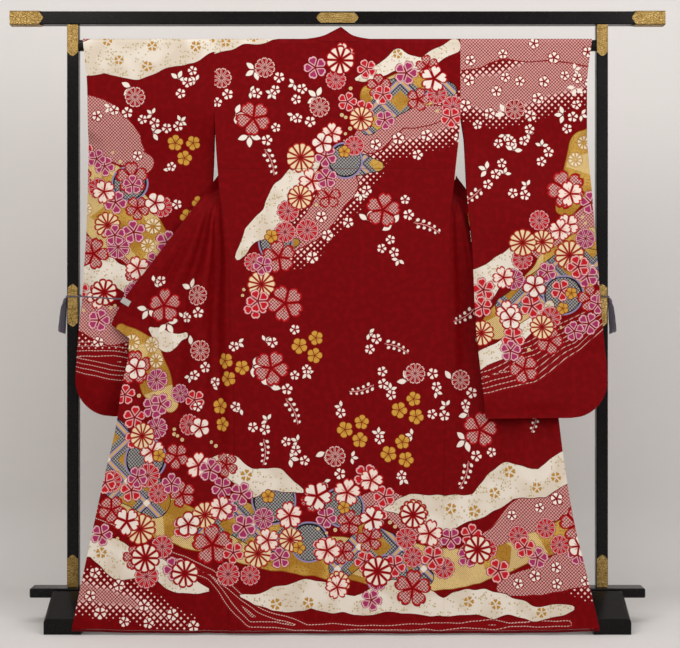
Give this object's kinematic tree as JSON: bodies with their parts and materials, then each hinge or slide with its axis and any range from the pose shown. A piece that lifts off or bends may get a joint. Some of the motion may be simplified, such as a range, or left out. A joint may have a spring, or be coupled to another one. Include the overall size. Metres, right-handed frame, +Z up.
{
  "type": "furisode kimono on a lacquered kimono stand",
  "caption": "Long-sleeved silk kimono hung by its sleeves on a black lacquered stand with brass fittings, both fronts drawn out and tied to the posts by tasselled cords.",
  "frame": {"origin": "middle of the footprint, on the floor", "axes": "+X to the right seen from the kimono's back, +Y from its back to its front, +Z up"},
  "size_m": [1.7576, 0.3449, 1.6428],
  "materials": {
    "black_lacquer": "black lacquer on wood, semi-gloss",
    "brass": "engraved sheet brass, satin",
    "crimson_silk": "figured silk crepe, dyed and gold-printed",
    "dark_red_lining": "plain silk lining, rolled at the hem",
    "purple_cord": "twisted silk cord",
    "clear_clip": "clear plastic"
  },
  "bodies": {
    "root": {"back_left": "crimson_silk", "back_right": "crimson_silk", "beam_cap_left": "brass", "beam_cap_right": "brass", "beam_plate": "brass", "bottom_rail": "black_lacquer", "clip_left": "clear_clip", "clip_right": "clear_clip", "collar_left": "crimson_silk", "collar_right": "crimson_silk", "cord_left": "purple_cord", "cord_right": "purple_cord", "foot_left": "black_lacquer", "foot_right": "black_lacquer", "front_left": "crimson_silk", "front_right": "crimson_silk", "hanging_rod": "black_lacquer", "hem_roll": "dark_red_lining", "overlap_left": "crimson_silk", "overlap_right": "crimson_silk", "post_bottom_fitting_left": "brass", "post_bottom_fitting_right": "brass", "post_left": "black_lacquer", "post_middle_fitting_left": "brass", "post_middle_fitting_right": "brass", "post_right": "black_lacquer", "post_top_fitting_left": "brass", "post_top_fitting_right": "brass", "sleeve_left_back": "crimson_silk", "sleeve_left_front": "crimson_silk", "sleeve_right_back": "crimson_silk", "sleeve_right_front": "crimson_silk", "tassel_left": "purple_cord", "tassel_right": "purple_cord", "top_beam": "black_lacquer"}
  },
  "joints": []
}
